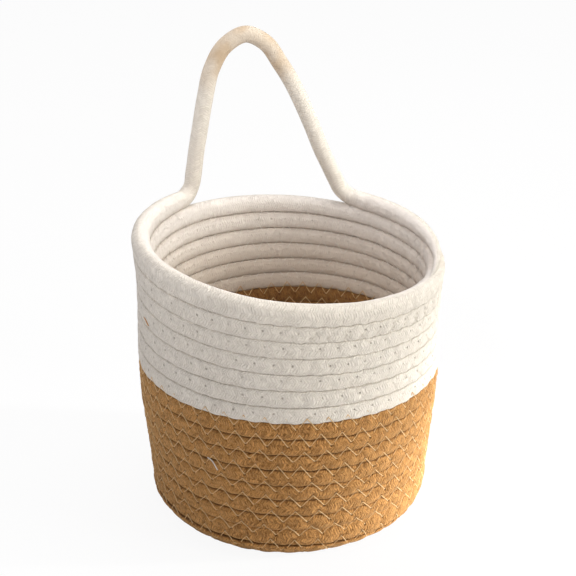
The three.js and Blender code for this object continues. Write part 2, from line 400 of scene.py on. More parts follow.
def thinned(turns):
    """Thickness of the rope at these turns, as a share: it thins out along the tail."""
    share = (turns - RIGHT_TURN) / (TAIL_TURN - RIGHT_TURN)
    thinning = smooth((share - TAIL_FULL_SHARE) / (TAIL_REACH_SHARE - TAIL_FULL_SHARE))
    return 1 - TAIL_THIN_SHARE * thinning


def fullness(turns):
    """How much squarer than round the outer face is pressed: more on the natural rope."""
    return blended(TAN_FULLNESS, NATURAL_FULLNESS, natural(turns))


def filled(turns):
    """Share of the groove that is gone because the turns lie together: only natural rope."""
    return NATURAL_FILL * natural(turns)


def section(height_share, flat):
    """How far out the rope's face lies, as a share of its half width, at this height."""
    power = 2 + flat
    return (1 - np.minimum(np.abs(height_share), 1) ** power) ** (1 / power)


def inner_section(height_share, pressed):
    """The same for the inner face, where the turns lie together for most of their depth."""
    flat_face = blended(section(height_share / FLAT_FROM, 0), 1, INNER_SEAM)
    return blended(section(height_share, 0), flat_face, pressed)


LOOP_STEPS = 24  # from one point of the loop to the next
FREE_RINGS = 15  # rings over which the rope goes from sewn to free


def centripetal(points):
    """A smooth curve through the points, by their own spacing."""
    points = np.array(points, float)
    padded = np.concatenate([[2 * points[0] - points[1]], points, [2 * points[-1] - points[-2]]])
    curve = []
    for a, b, c, d in zip(padded, padded[1:], padded[2:], padded[3:]):
        first, middle, last = (
            np.linalg.norm(step) ** 0.5 for step in (b - a, c - b, d - c)
        )
        leave = ((b - a) / first - (c - a) / (first + middle) + (c - b) / middle) * middle
        reach = ((c - b) / middle - (d - b) / (middle + last) + (d - c) / last) * middle
        curve += hermite(b, c, leave, reach, LOOP_STEPS)
    return np.array([*curve, points[-1]])


def lift(turn, direction, lean):
    """The bend in which the natural rope leaves the rim, and its leg up to the hinge."""
    place = coil(turn)[0][0]
    radial = unit(np.array([place[0], place[1], 0.0]))
    heading = -direction * np.cross(UP, radial)
    leg = np.array([direction * math.sin(lean), 0.0, math.cos(lean)])
    axis = unit(np.cross(heading, leg))
    inward = np.cross(axis, heading)
    bend = math.acos(heading @ leg)
    radius = LIFT_REACH / math.tan(bend / 2)
    angles = np.linspace(0, bend, LIFT_POINTS)[:, None]
    arc = place + radius * (inward * (1 - np.cos(angles)) + heading * np.sin(angles))
    end = place + (heading + leg) * LIFT_REACH
    hinge = end + leg * (HINGE.z / MM - end[2]) / leg[2]
    return {"arc": arc, "end": end, "hinge": hinge, "out": -direction * axis}


def resampled(points, others, steps):
    """Points spread along the path by these steps, with whatever goes with each point."""
    way = travelled(points)
    counted = np.concatenate([[0.0], np.cumsum(np.diff(way) / steps[1:])])
    even = np.linspace(0, counted[-1], round(counted[-1]) + 1)

    def spread(values):
        if values.ndim == 1:
            return np.interp(even, counted, values)
        return np.stack([np.interp(even, counted, column) for column in values.T], 1)

    return spread(points), [spread(other) for other in others]


# A path is its points, outward directions, turns and whether the rope is sewn (0) or free (1)


def tan_path():
    """The tan rope: wound up tightly in the middle of the base, then coiled."""
    turns = np.arange(START_TURN, 0, TURN_STEP)
    turns = np.append(turns, -COLOUR_GAP / (FULL_TURN * FOOT_RADIUS))
    points, out, _ = coil(turns)
    steps = np.where(points[:, 2] < BASE_HEIGHT + 0.1, BASE_RING_STEP, RING_STEP)
    points, (out, turns) = resampled(points, (out, turns), steps)
    return points, out, turns, np.zeros(len(points))


def natural_path():
    """The natural rope: wall, left foot, loop, right foot and tail."""
    wall_turns = np.append(np.arange(0, LEFT_TURN, TURN_STEP), LEFT_TURN)
    wall, wall_out, _ = coil(wall_turns)
    left = lift(LEFT_TURN, 1, LEFT_LEAN_ANGLE)
    right = lift(RIGHT_TURN, -1, RIGHT_LEAN_ANGLE)
    middle = (left["hinge"] + right["hinge"]) / 2
    half_span = np.linalg.norm(right["hinge"] - left["hinge"]) / 2
    top = [
        middle + np.array([half_span * side, 0, LOOP_HEIGHT * high]) for side, high in LOOP_SHARES
    ]
    loop = centripetal([left["end"], left["hinge"], *top, right["hinge"], right["end"]])
    tail_turns = np.arange(RIGHT_TURN, TAIL_TIP_TURN, TURN_STEP)
    tail, tail_out, _ = coil(tail_turns)
    left_arc, right_arc = left["arc"][1:-1], right["arc"][-2:0:-1]
    points = np.concatenate([wall, left_arc, loop, right_arc, tail])
    way = travelled(loop)
    share = np.clip(np.minimum(way, way[-1] - way) / TURN_OVER, 0, 1)[:, None]
    side = np.where(np.arange(len(loop))[:, None] < len(loop) / 2, left["out"], right["out"])
    left_out = np.tile(left["out"], (len(left_arc), 1))
    right_out = np.tile(right["out"], (len(right_arc), 1))
    loop_out = unit(blended(side, BACK, share))
    out = np.concatenate([wall_out, left_out, loop_out, right_out, tail_out])
    bridge = np.full(len(points) - len(wall) - len(tail), LEFT_TURN)
    bridge[len(bridge) // 2 :] = RIGHT_TURN
    turns = np.concatenate([wall_turns, bridge, tail_turns])
    free = np.concatenate([0 * wall_turns, np.ones(len(bridge)), 0 * tail_turns])
    steps = np.full(len(points), RING_STEP)
    points, (out, turns, free) = resampled(points, (out, turns, free), steps)
    padded = np.pad(free, FREE_RINGS // 2, mode="edge")
    free = np.convolve(padded, np.ones(FREE_RINGS) / FREE_RINGS, mode="valid")
    return points, out, turns, free


# Meshes


def new_mesh(name, rings, faces, uvs, material):
    """An object at the origin whose mesh holds these rings of points, in millimetres."""
    mesh = bpy.data.meshes.new(name)
    mesh.from_pydata((rings.reshape(-1, 3) * MM).tolist(), [], faces)
    for layer, values in uvs.items():
        uv = mesh.uv_layers.new(name=layer)
        uv.data.foreach_set("uv", np.stack(values, 1).astype(np.float32).ravel())
    mesh.materials.append(material)
    mesh.polygons.foreach_set("use_smooth", np.ones(len(mesh.polygons), bool))
    mesh.update()
    piece = bpy.data.objects.new(name, mesh)
    bpy.context.scene.collection.objects.link(piece)
    return piece


def square_to(points, normals):
    """Directions square to the path: outwards, nearest to the normals, and across."""
    heading = unit(np.gradient(points, axis=0))
    out = unit(normals - heading * np.sum(normals * heading, 1)[:, None])
    return out, np.cross(heading, out)


def placed(points, out, along, reach_out, reach_along):
    """Rings round the path, with each corner this far out and across."""
    return (
        points[:, None, :]
        + out[:, None, :] * reach_out[..., None]
        + along[:, None, :] * reach_along[..., None]
    )


def tube_faces(rings, sides):
    """Four-sided faces round a tube, its two ends, and each corner's ring and side."""
    ring, side = np.meshgrid(np.arange(rings - 1), np.arange(sides), indexing="ij")
    ring, side = ring.ravel(), side.ravel()
    corner_rings = np.stack([ring, ring, ring + 1, ring + 1], 1)
    corner_sides = np.stack([side, side + 1, side + 1, side], 1)
    quads = corner_rings * sides + corner_sides % sides
    last = (rings - 1) * sides
    faces = quads.tolist()
    faces.append(list(range(sides))[::-1])
    faces.append(list(range(last, last + sides)))
    ends = np.arange(sides)
    corner_rings = np.concatenate(
        [corner_rings.ravel(), np.zeros(sides, int), np.full(sides, rings - 1)]
    )
    corner_sides = np.concatenate([corner_sides.ravel(), ends[::-1], ends])
    return faces, corner_rings, corner_sides


OUTER_HEIGHTS = (-0.97, -0.88, -0.7, -0.48, -0.24, 0, 0.24, 0.48, 0.7, 0.88, 0.97)
INNER_HEIGHTS = (0.97, 0.8, 0.48, 0, -0.48, -0.8, -0.97)
HEIGHTS = np.array([*OUTER_HEIGHTS, 1, *INNER_HEIGHTS, -1])  # round the rope, of its half height
FACES = np.array([1] * len(OUTER_HEIGHTS) + [0] + [-1] * len(INNER_HEIGHTS) + [0])
ROUND = np.unwrap(np.arctan2(HEIGHTS, FACES * np.sqrt(1 - HEIGHTS**2)))
COLUMNS = 10  # of the braid, round the rope

# How far round a needle hole and a leg of the thread the rope is pulled in, and how hard
HOLE_REACH = 1.15
LEG_REACH = 0.7
LEG_SLANT = 0.8  # the way to a slanted leg is this much shorter than along the seam
LEG_PULL = 0.4
DIMPLE_AT_LEG = 0.36
INNER_DIMPLE = 1.2  # times the outer dimple
LUMP = 0.1
LUMP_WAVES = (0.11, 0.16)  # the finest ones, per ring and per side


def stitch_pull(phase_above, phase_below, height, stitch):
    """How strongly the stitches pull the rope's face in, from 0 to 1."""
    pull = np.zeros_like(height * phase_above)
    rows = (
        (phase_below, STITCH_ABOVE - 0.5, 0.0, 1),
        (phase_above, 0.5 - STITCH_BELOW, 0.5, -1),
    )
    reach = STITCH_ABOVE + STITCH_BELOW
    for phase, hole_height, start, direction in rows:
        off = (phase - start + 0.5) % 1 - 0.5
        from_hole = (off * stitch) ** 2 + ((height - hole_height) * ROPE) ** 2
        pull = np.maximum(pull, np.exp(-from_hole / HOLE_REACH**2))
        drop = (hole_height - height) * direction
        down = np.clip(drop, 0, None) / reach
        from_leg = (np.abs(off) - down / 2) * stitch * LEG_SLANT
        on_leg = (drop > 0) * np.exp(-((from_leg / LEG_REACH) ** 2))
        pull = np.maximum(pull, LEG_PULL * on_leg)
    return pull


def lumps(rings, sides, draw):
    """Soft unevenness of the rope's face, with a spread of 1."""
    rough = draw.normal(size=(rings, sides))
    along = np.fft.fftfreq(rings)[:, None]
    round_it = np.fft.fftfreq(sides)[None]
    kept = np.exp(-((along / LUMP_WAVES[0]) ** 2) - (round_it / LUMP_WAVES[1]) ** 2)
    soft = np.fft.ifft2(np.fft.fft2(rough) * kept).real
    return soft / soft.std()


def rope_rings(path, sizes, draw):
    """Rings of a sewn rope and its surface values: flattened where coiled, round where free."""
    points, out, turns, free = path
    out, along = square_to(points, out)
    below, above, width = (
        blended(half, sizes.loop_rope / MM / 2, free)
        for half in (*half_heights(turns), sizes.rope / MM / 2)
    )
    thin = thinned(turns)
    points = points - along * (below * (1 - thin))[:, None]
    sewn = (1 - free)[:, None]
    open_top = crown(turns)[:, None] * (HEIGHTS > 0)
    outside = blended(fullness(turns)[:, None], CROWN_FULLNESS, open_top)
    pressed = sewn * (1 - open_top)
    fill = filled(turns)[:, None] * pressed
    outer_face = blended(section(HEIGHTS[None], sewn * outside), 1, fill)
    wide = FACES * np.where(FACES > 0, outer_face, inner_section(HEIGHTS[None], pressed))
    stitch = sizes.stitch / MM
    phase_above = seam_way(turns) / stitch
    phase_below = seam_way(turns - 1) / stitch
    pull = stitch_pull(phase_above[:, None], phase_below[:, None], HEIGHTS[None] / 2, stitch)
    pull = pull * sewn * puckered(turns)[:, None] * (1 - open_top)
    dimple = np.where(FACES > 0, 1.0, INNER_DIMPLE) * pull * sizes.dimple / MM
    width = width * thin**TAIL_WIDTH_POWER
    reach_out = wide * width[:, None] - FACES * dimple * thin[:, None]
    reach_out = reach_out + FACES * LUMP * lumps(*wide.shape, draw)
    reach_along = HEIGHTS + (np.clip(HEIGHTS / FLAT_FROM, -1, 1) - HEIGHTS) * pressed
    halves = np.where(HEIGHTS > 0, (above * thin)[:, None], (below * thin)[:, None])
    wave_above = np.cos(FULL_TURN * phase_above) * puckered(turns)
    wave_below = np.cos(FULL_TURN * phase_below) * puckered(turns - 1)
    wave = np.where(HEIGHTS > 0, wave_above[:, None], wave_below[:, None]) * HEIGHTS**4
    bent = splayed(turns)[:, None]
    reach_along = reach_along * (halves - SEAM_GAP * pressed + CORNER_FILL * bent)
    reach_along = reach_along * (1 + bent * reach_out) + SEAM_WAVE * wave * pressed
    rings = placed(points, out, along, reach_out, reach_along)
    rings[..., 2] = np.maximum(rings[..., 2], FLOOR_GAP)
    return {
        "rings": rings,
        "way": travelled(points),
        "above": phase_above,
        "below": phase_below,
        "sewn": 1 - free,
        "crown": crown(turns),
        "warm": smooth((points[:, 2] - WARM_FROM) / (WARM_TO - WARM_FROM)),
    }


def sleeve(name, rope, start, end, material):
    """The rope from one of its rings to another as a closed mesh.

    Its UV maps hold the way along the braid and the column, the stitches above and below,
    the height in the course and whether it is sewn, and the warm tint and the face. The top
    of the crown has height 0, because it has no seam.
    """
    part = {key: values[start : end + 1] for key, values in rope.items()}
    sides = len(HEIGHTS)
    faces, corner_rings, corner_sides = tube_faces(len(part["rings"]), sides)
    angles = np.append(ROUND, ROUND[0] + FULL_TURN)
    looked = corner_sides % sides
    seamed = 1 - part["crown"][corner_rings] * (HEIGHTS > 0)[looked]
    face_share = np.clip(np.abs(FACES), 0.5, 1)[looked]
    uvs = {
        "Braid": (part["way"][corner_rings], angles[corner_sides] / FULL_TURN * COLUMNS + COLUMNS),
        "Stitch": (part["above"][corner_rings], part["below"][corner_rings]),
        "Course": (HEIGHTS[looked] / 2 * seamed, part["sewn"][corner_rings] * face_share),
        "Tint": (part["warm"][corner_rings], FACES[looked]),
    }
    piece = new_mesh(name, part["rings"], faces, uvs, material)
    for cap in piece.data.polygons[-2:]:
        cap.use_smooth = False
        for corner in cap.loop_indices:
            edge = piece.data.loops[corner].edge_index
            piece.data.edges[edge].use_edge_sharp = True
    return piece


THREAD_SIDES = 5


def thread_tube(name, points, normals, legs, thickness, material):
    """A thin thread along the points. Its legs are 1 up the seam and 0 down."""
    out, along = square_to(points, normals)
    angles = np.arange(THREAD_SIDES)[None] / THREAD_SIDES * FULL_TURN
    half = thickness / 2
    rings = placed(points, out, along, np.cos(angles) * half, np.sin(angles) * half)
    faces, corner_rings, corner_sides = tube_faces(len(points), THREAD_SIDES)
    side_share = corner_sides / THREAD_SIDES
    uvs = {
        "Thread": (travelled(points)[corner_rings], side_share),
        "Leg": (legs[corner_rings], side_share),
    }
    return new_mesh(name, rings, faces, uvs, material)


# One stitch seen from outside: the leg up and the leg down. Way along the stitch, height
# between the two rows of holes, and depth below the surface in millimetres
LEG_UP = (
    (0, 0.05, 0.2, 0.4, 0.6, 0.8, 0.92, 0.98),
    (0, 0.07, 0.22, 0.42, 0.62, 0.82, 0.94, 1),
    (0.8, 0.15, 0, 0, 0, 0, 0.05, 0.15),
)
LEG_DOWN = (
    (0.02, 0.1, 0.2, 0.35, 0.5, 0.65, 0.8, 0.95),
    (1, 0.9, 0.8, 0.65, 0.5, 0.35, 0.2, 0.06),
    (0.15, 0.05, 0, 0, 0, 0, 0.03, 0.3),
)
LEG_DOWN_SUNK = 0.08
SLIP = 0.03  # of a stitch and of a course, that a needle hole lies off its place


def seam_thread(start, end, side, sunk, sizes, draw):
    """The zigzag over the seam from one turn to another, outside (1) or inside (-1)."""
    stitch = sizes.stitch / MM
    first = math.ceil(seam_way(start) / stitch * 2)
    last = math.floor(seam_way(end) / stitch * 2)
    steps = np.arange(first, last)
    way, offset, depth, legs = [], [], [], []
    slip = draw.uniform(-SLIP, SLIP, (len(steps) + 1, 2))
    for step, (low_slip, side_slip) in zip(steps, slip):
        leg, height, sink = np.array(LEG_UP if step % 2 else LEG_DOWN)
        way.append((step + side_slip + leg) / 2 * stitch)
        offset.append(-STITCH_BELOW + (STITCH_ABOVE + STITCH_BELOW) * height + low_slip)
        depth.append(sink + (0 if step % 2 else LEG_DOWN_SUNK))
        legs.append(np.full(len(leg), float(step % 2)))
    way, offset, depth = (np.concatenate(part) for part in (way, offset, depth))
    turns = np.interp(way, SEAM_WAY, SEAM_TURNS)
    lower, lower_out, lower_along = coil(turns)
    upper, upper_out, upper_along = coil(turns + 1)
    local = 1 - 2 * np.maximum(np.abs(offset), SEAM_BRIDGE)
    face = inner_section(local, 1)
    if side > 0:
        face = blended(section(local, fullness(turns)), 1, filled(turns))
    face = face * sizes.rope / MM / 2
    depth = depth + sunk + DIMPLE_AT_LEG * puckered(turns) * sizes.dimple / MM
    thin = thinned(turns + 1)
    proud = side * (face - depth)[:, None]
    upper_proud = side * (face * thin**TAIL_WIDTH_POWER - depth)[:, None]
    lower_half = (half_heights(turns)[1] * local)[:, None] * (1 + splayed(turns)[:, None] * proud)
    upper_half = (half_heights(turns + 1)[0] * (1 - thin + thin * local))[:, None]
    upper_half = upper_half * (1 + splayed(turns + 1)[:, None] * upper_proud)
    on_upper = upper - upper_along * upper_half + upper_out * upper_proud
    on_lower = lower + lower_along * lower_half + lower_out * proud
    share = np.clip(offset / SEAM_BRIDGE / 2 + 0.5, 0, 1)[:, None]
    points = blended(on_lower, on_upper, share)
    points[:, 2] = np.maximum(points[:, 2], sizes.thread / MM / 2 + THREAD_GAP)
    normals = side * unit(blended(lower_out, upper_out, share))
    return points, normals, np.concatenate(legs)


FIBRE_POINTS = 14
FIBRE_DIP = 0.72  # of the half height: a fibre bridges the seam beyond this
FIBRE_FULLNESS = 1.6


def fibre(name, start, end, thickness, bow, sizes, material):
    """A short loose fibre lying on the outer face, between two places on the wall."""
    share = np.linspace(0, 1, FIBRE_POINTS)
    angles = np.radians(start[0] + (end[0] - start[0]) * share)
    levels = start[1] + (end[1] - start[1]) * share + bow * np.sin(math.pi * share)
    whole = np.floor(levels)
    turns = turn_at(angles, whole)
    above = levels - whole
    place, out, _ = coil(turns)
    points = blended(place, coil(turns + 1)[0], above[:, None])
    off_course = np.minimum(np.minimum(above, 1 - above) * 2, FIBRE_DIP)
    face = sizes.rope / MM / 2 * section(off_course, FIBRE_FULLNESS)
    points = points + out * (face + thickness / 4)[:, None]
    return thread_tube(name, points, out, np.ones(len(points)), thickness, material)


# Materials


class Field:
    """A number on the surface, made by math nodes."""

    def __init__(self, tree, socket):
        self.tree = tree
        self.socket = socket

    def math(self, operation, *others):
        inputs = dict(enumerate((self, *others)))
        node = new_node(self.tree, "ShaderNodeMath", inputs, operation=operation)
        return Field(self.tree, node.outputs[0])

    def __add__(self, other):
        return self.math("ADD", other)

    def __sub__(self, other):
        return self.math("SUBTRACT", other)

    def __mul__(self, other):
        return self.math("MULTIPLY", other)

    def __truediv__(self, other):
        return self.math("DIVIDE", other)

    def __pow__(self, other):
        return self.math("POWER", other)

    def spread(self, low, high):
        """0 below low, 1 above high."""
        inputs = {"Value": self, "From Min": low, "From Max": high}
        node = new_node(
            self.tree, "ShaderNodeMapRange", inputs, interpolation_type="SMOOTHSTEP"
        )
        return Field(self.tree, node.outputs["Result"])

    def at_least(self, least):
        """The same number, but starting at this value and still ending at 1."""
        return self * (1 - least) + least


def set_inputs(tree, node, inputs):
    """Sets or links a node's inputs. A colour has three parts."""
    for name, value in inputs.items():
        if isinstance(value, Field):
            tree.links.new(value.socket, node.inputs[name])
        elif isinstance(value, bpy.types.NodeSocket):
            tree.links.new(value, node.inputs[name])
        elif isinstance(value, tuple):
            node.inputs[name].default_value = (*value, 1)
        else:
            node.inputs[name].default_value = value


def new_node(tree, kind, inputs, **settings):
    node = tree.nodes.new(kind)
    for name, value in settings.items():
        setattr(node, name, value)
    set_inputs(tree, node, inputs)
    return node


def split_fields(tree, socket):
    """The three numbers of a vector."""
    node = new_node(tree, "ShaderNodeSeparateXYZ", {0: socket})
    return [Field(tree, output) for output in node.outputs]


def uv_fields(tree, layer):
    source = new_node(tree, "ShaderNodeUVMap", {}, uv_map=layer)
    return split_fields(tree, source.outputs[0])[:2]


# Waves per metre and detail of the soft noises
NOISES = {
    "bend": (170.0, 2.0),
    "fray": (650.0, 2.0),
    "shift": (400.0, 2.0),
    "patchiness": (520.0, 2.0),
    "holes": (110.0, 2.0),
    "grooves": (150.0, 2.0),
    "specks": (800.0, 1.0),
    "clouds": (34.0, 3.0),
    "patches": (75.0, 2.0),
    "thread": (120.0, 2.0),
}
# Heights between which painted shade darkens and browns the inner faces further down
DEEP_FROM = 0.128  # metres, heights between which the inside gets darker
DEEP_TO = 0.085


def object_place(tree):
    return new_node(tree, "ShaderNodeTexCoord", {}).outputs["Object"]


def noise(tree, name):
    """One of the soft noises, on the object's own coordinates."""
    scale, detail = NOISES[name]
    inputs = {"Scale": scale, "Detail": detail, "Vector": object_place(tree)}
    return Field(tree, new_node(tree, "ShaderNodeTexNoise", inputs).outputs["Fac"])


def deep(tree):
    """How deep down in the basket a place lies, from 0 near the rim to 1."""
    return split_fields(tree, object_place(tree))[2].spread(DEEP_FROM, DEEP_TO)


def on_pair(tree, kind, first, second, **inputs):
    """A texture of this kind on two numbers of the surface."""
    pair = new_node(tree, "ShaderNodeCombineXYZ", {0: first, 1: second})
    inputs["Vector"] = pair.outputs[0]
    return Field(tree, new_node(tree, kind, inputs, noise_dimensions="2D").outputs[0])


# Places of the colours among the sockets of a Mix node
MIX_FIRST = 6
MIX_SECOND = 7
MIX_RESULT = 2


def mixed(tree, share, first, second):
    """The first colour where share is 0 and the second where it is 1."""
    inputs = {0: share, MIX_FIRST: first, MIX_SECOND: second}
    return new_node(tree, "ShaderNodeMix", inputs, data_type="RGBA").outputs[MIX_RESULT]


def shade(colour, factor):
    """The colour times one factor, or times one for each of its three parts."""
    return tuple(float(part) for part in np.multiply(colour, factor))


def cotton_shader(name, roughness, sheen, sheen_tint=(1, 1, 1)):
    """A matt material, its nodes and its shader."""
    material = bpy.data.materials.new(name)
    material.use_nodes = True
    tree = material.node_tree
    shader = tree.nodes["Principled BSDF"]
    values = {
        "Roughness": roughness,
        "Specular IOR Level": 0.15,
        "Sheen Weight": sheen,
        "Sheen Roughness": 0.5,
        "Sheen Tint": sheen_tint,
    }
    set_inputs(tree, shader, values)
    return material, tree, shader


def finish(tree, shader, tone, height, distance, strength):
    """Gives the shader its colour and its relief."""
    inputs = {"Height": height, "Distance": distance, "Strength": strength}
    relief = new_node(tree, "ShaderNodeBump", inputs).outputs["Normal"]
    set_inputs(tree, shader, {"Base Color": tone, "Normal": relief})


# Marks of the two cottons, some of them painted: painted shade in the braid's crevices, in
# the needle holes and in the grooves, and painted light and shade on the inner faces. The
# tones of the dullest and the brightest stroke, the dark of the specks and the painted shade
# between the strokes, and the stains are shares of the rope's colour. The pairs with a
# colour in them start with how strongly the mark shows
# Colour of the painted shade on the tan rope's inner faces
TAN_INSIDE_SHADE = (0.1, 0.04, 0.014)
TAN_MARKS = {
    "sheen": (0.35, (1.0, 0.72, 0.38)),
    "strokes": (0.76, 1.22),
    "dark_bits_and_shade": (0.34, 0.26, 0.16),
    "stain": 0.84,
    "missed": 0.35,
    "crevice_shade": 0.85,
    "fibres": 0.85,
    "specks": 0.8,
    "hole": (0.85, (0.055, 0.019, 0.004)),
    "hole_size": 0.75,
    "upper_holes": 0.6,
    "groove": (0.85, (0.07, 0.026, 0.006)),
    "groove_shade_from": 0.44,
    "inside_light_and_shade": (0.35, TAN_INSIDE_SHADE),
    "deep": (0.1, TAN_INSIDE_SHADE),
    "inner_groove_shade": (0.3, TAN_INSIDE_SHADE),
    "warmth": (0.0, TAN_INSIDE_SHADE),
}
NATURAL_MARKS = {
    "sheen": (0.2, (1.0, 0.99, 0.98)),
    "strokes": (0.93, 1.04),
    "dark_bits_and_shade": (0.66, 0.62, 0.56),
    "stain": (0.92, 0.9, 0.87),
    "missed": 0.1,
    "crevice_shade": 0.5,
    "fibres": 0.16,
    "specks": 0.22,
    "hole": (0.62, (0.27, 0.2, 0.135)),
    "hole_size": 0.72,
    "upper_holes": 0.12,
    "groove": (0.16, (0.56, 0.45, 0.33)),
    "groove_shade_from": 0.45,
    "inside_light_and_shade": (0.5, (0.95, 0.88, 0.825)),
    "deep": (0.4, (0.64, 0.48, 0.31)),
    "inner_groove_shade": (0.4, (0.5, 0.4, 0.32)),
    "warmth": (0.85, (0.54, 0.39, 0.24)),
}
STROKE_PITCH = 1.15  # mm along the rope
STROKE_SLANT = 0.95  # pitches over one column of the braid
FIBRE_STRETCH = 0.22  # below 1, so that the fine fibres run along the strokes
FIBRE_NOISE = {"Scale": 3.6, "Detail": 3.0}
BRAID_DEPTH = 0.0004  # metres
# Painted shade of a needle hole
HOLE_EDGE = 0.15  # mm from its middle, where a needle hole is darkest
# Painted shade of a groove between the courses
GROOVE_EDGE = 0.485  # of a course, where a groove is darkest


def braid(tree):
    """The braid's relief, a value for each of its strokes, and fine fibres along them."""
    way, column = uv_fields(tree, "Braid")
    way = way + (noise(tree, "bend") - 0.5) * 2.0 + (noise(tree, "fray") - 0.5) * 1.1
    column = column + (noise(tree, "shift") - 0.5) * 1.1
    across = column.math("FRACT") - 0.5
    parity = column.math("FLOOR").math("MODULO", 2.0) * 2.0 - 1.0
    stroke = way / STROKE_PITCH + across * parity * STROKE_SLANT + parity * 0.25
    ridge = (stroke * math.pi).math("SINE").math("ABSOLUTE") ** 0.75
    column_round = (across * math.pi).math("COSINE").math("MAXIMUM", 0.0) ** 0.5
    cell = (stroke.math("FLOOR"), column.math("FLOOR"))
    value = on_pair(tree, "ShaderNodeTexWhiteNoise", *cell)
    drawn_out = (stroke, column * FIBRE_STRETCH)
    fibres = on_pair(tree, "ShaderNodeTexNoise", *drawn_out, **FIBRE_NOISE)
    return ridge * column_round.at_least(0.5), value, fibres


def needle_holes(tree, height, marks, stitch):
    """1 in the middle of each needle hole, fainter in the row above the seam."""
    above, below = uv_fields(tree, "Stitch")
    holes = None
    for phase, start, hole_height in (
        (below, 0.5, STITCH_ABOVE - 0.5),
        (above, 0.0, 0.5 - STITCH_BELOW),
    ):
        off = ((phase + start).math("FRACT") - 0.5) * stitch
        high = (height - hole_height) * ROPE
        gap = (off * off + high * high).math("SQRT")
        mark = gap.spread(marks["hole_size"], HOLE_EDGE)
        if start:
            mark = mark * marks["upper_holes"]
        holes = mark if holes is None else holes.math("MAXIMUM", mark)
    return holes * noise(tree, "holes").spread(0.3, 0.6).at_least(0.3)


def braided_cotton(name, colour, marks, stitch):
    """Cotton rope with a finely braided sleeve, needle holes and soft stains, with painted shade
    in the braid's crevices, the needle holes and the grooves, and painted light and shade on the
    inner faces.
    """
    material, tree, shader = cotton_shader(name, 0.95, *marks["sheen"])
    ridges, strand, fibres = braid(tree)
    height, sewn = uv_fields(tree, "Course")
    warm, face = uv_fields(tree, "Tint")
    outside = face.spread(-0.5, 0.5).at_least(0.35)
    inside = face.spread(0.5, -0.5) * sewn
    holes = needle_holes(tree, height, marks, stitch) * sewn * outside.at_least(0.5)
    # Patchy strength of the painted crevice shade and of the braid's relief
    patchy = noise(tree, "patchiness").spread(0.3, 0.62).at_least(0.4)
    broken = noise(tree, "grooves").spread(0.3, 0.65).at_least(0.5) * outside
    off_middle = height.math("ABSOLUTE")
    # Painted shade along the grooves between the courses, broken up by a noise
    groove = off_middle.spread(marks["groove_shade_from"], GROOVE_EDGE) * sewn * broken
    specks = noise(tree, "specks").spread(0.58, 0.7) * sewn.at_least(0.3)
    patches = noise(tree, "patches").spread(0.38, 0.62).at_least(0.5)

    dull, bright = marks["strokes"]
    # Dark of the missed strands, fibres and specks, and of the painted shade in the braid's
    # crevices
    dark_bits_and_shade = shade(colour, marks["dark_bits_and_shade"])
    tone = mixed(tree, strand, shade(colour, dull), shade(colour, bright))
    for share, strength, tint in (
        (strand.spread(0.2, 0.05), marks["missed"], dark_bits_and_shade),
        # Painted shade in the crevices between the braid's strokes
        (ridges.spread(0.8, 0.15) * patchy, marks["crevice_shade"], dark_bits_and_shade),
        (fibres.spread(0.5, 0.72), marks["fibres"], shade(colour, 1.3)),
        (fibres.spread(0.5, 0.3), marks["fibres"], dark_bits_and_shade),
        (specks, marks["specks"], dark_bits_and_shade),
        (noise(tree, "clouds").spread(0.35, 0.7), 0.3, shade(colour, marks["stain"])),
        # Painted shade in the needle holes
        (holes, *marks["hole"]),
        # Painted shade in the grooves between the courses
        (groove, *marks["groove"]),
        # Painted light and shade on the inner faces: paler on the natural rope, darker on the tan
        (inside, *marks["inside_light_and_shade"]),
        # Painted shade and warm bounce, darker and browner further down inside
        (inside * deep(tree), *marks["deep"]),
        # Painted shade towards the seams on the inner faces
        (inside * off_middle.spread(0.22, 0.48), *marks["inner_groove_shade"]),
        (warm * patches, *marks["warmth"]),
    ):
        tone = mixed(tree, share * strength, tone, tint)
    relief = (ridges * patchy + fibres * 0.7) * sewn.at_least(0.25) - holes * 1.6
    finish(tree, shader, tone, relief, BRAID_DEPTH, 1.0)
    return material


TWIST_PITCH = 0.55  # mm
TWIST_DEPTH = 0.00008


def sewing_thread(name, colour, shaded_leg_colour, dull):
    """Twisted cotton thread, with painted shade in its twist and on the legs that run down the
    seam.
    """
    material, tree, shader = cotton_shader(name, 0.75, 0.1)
    way, side = uv_fields(tree, "Thread")
    leg, _ = uv_fields(tree, "Leg")
    twist = ((way / TWIST_PITCH + side) * math.pi).math("SINE").math("ABSOLUTE")
    patches = noise(tree, "thread").spread(0.45, 0.75)
    # Painted shade in the grooves of the thread's twist
    tone = mixed(tree, twist.spread(0.5, 0.0) * 0.5, colour, shade(colour, 0.7))
    tone = mixed(tree, patches * 0.4, tone, shade(colour, 0.82))
    # Painted shade on the legs that run down the seam
    tone = mixed(tree, (leg * -1.0 + 1.0) * dull, tone, shaded_leg_colour)
    finish(tree, shader, tone, twist, TWIST_DEPTH, 0.6)
    return material


FLOOR_COLOUR = (0.88, 0.88, 0.88)
FLOOR_WHITE_SHARE = 0.92  # of what the camera sees; the rest shows the shadow


def floor_material():
    """Pale floor: it keeps the basket's shadow, and reads as white to the camera."""
    material = bpy.data.materials.new("pale_floor")
    material.use_nodes = True
    tree = material.node_tree
    tree.nodes.clear()
    path = new_node(tree, "ShaderNodeLightPath", {})
    matt = new_node(tree, "ShaderNodeBsdfDiffuse", {"Color": FLOOR_COLOUR})
    glow = new_node(tree, "ShaderNodeEmission", {"Color": (1, 1, 1), "Strength": 1.0})
    seen = Field(tree, path.outputs["Is Camera Ray"]) * FLOOR_WHITE_SHARE
    inputs = {0: seen, 1: matt.outputs[0], 2: glow.outputs[0]}
    mix = new_node(tree, "ShaderNodeMixShader", inputs)
    new_node(tree, "ShaderNodeOutputMaterial", {"Surface": mix.outputs[0]})
    return material


# Operators


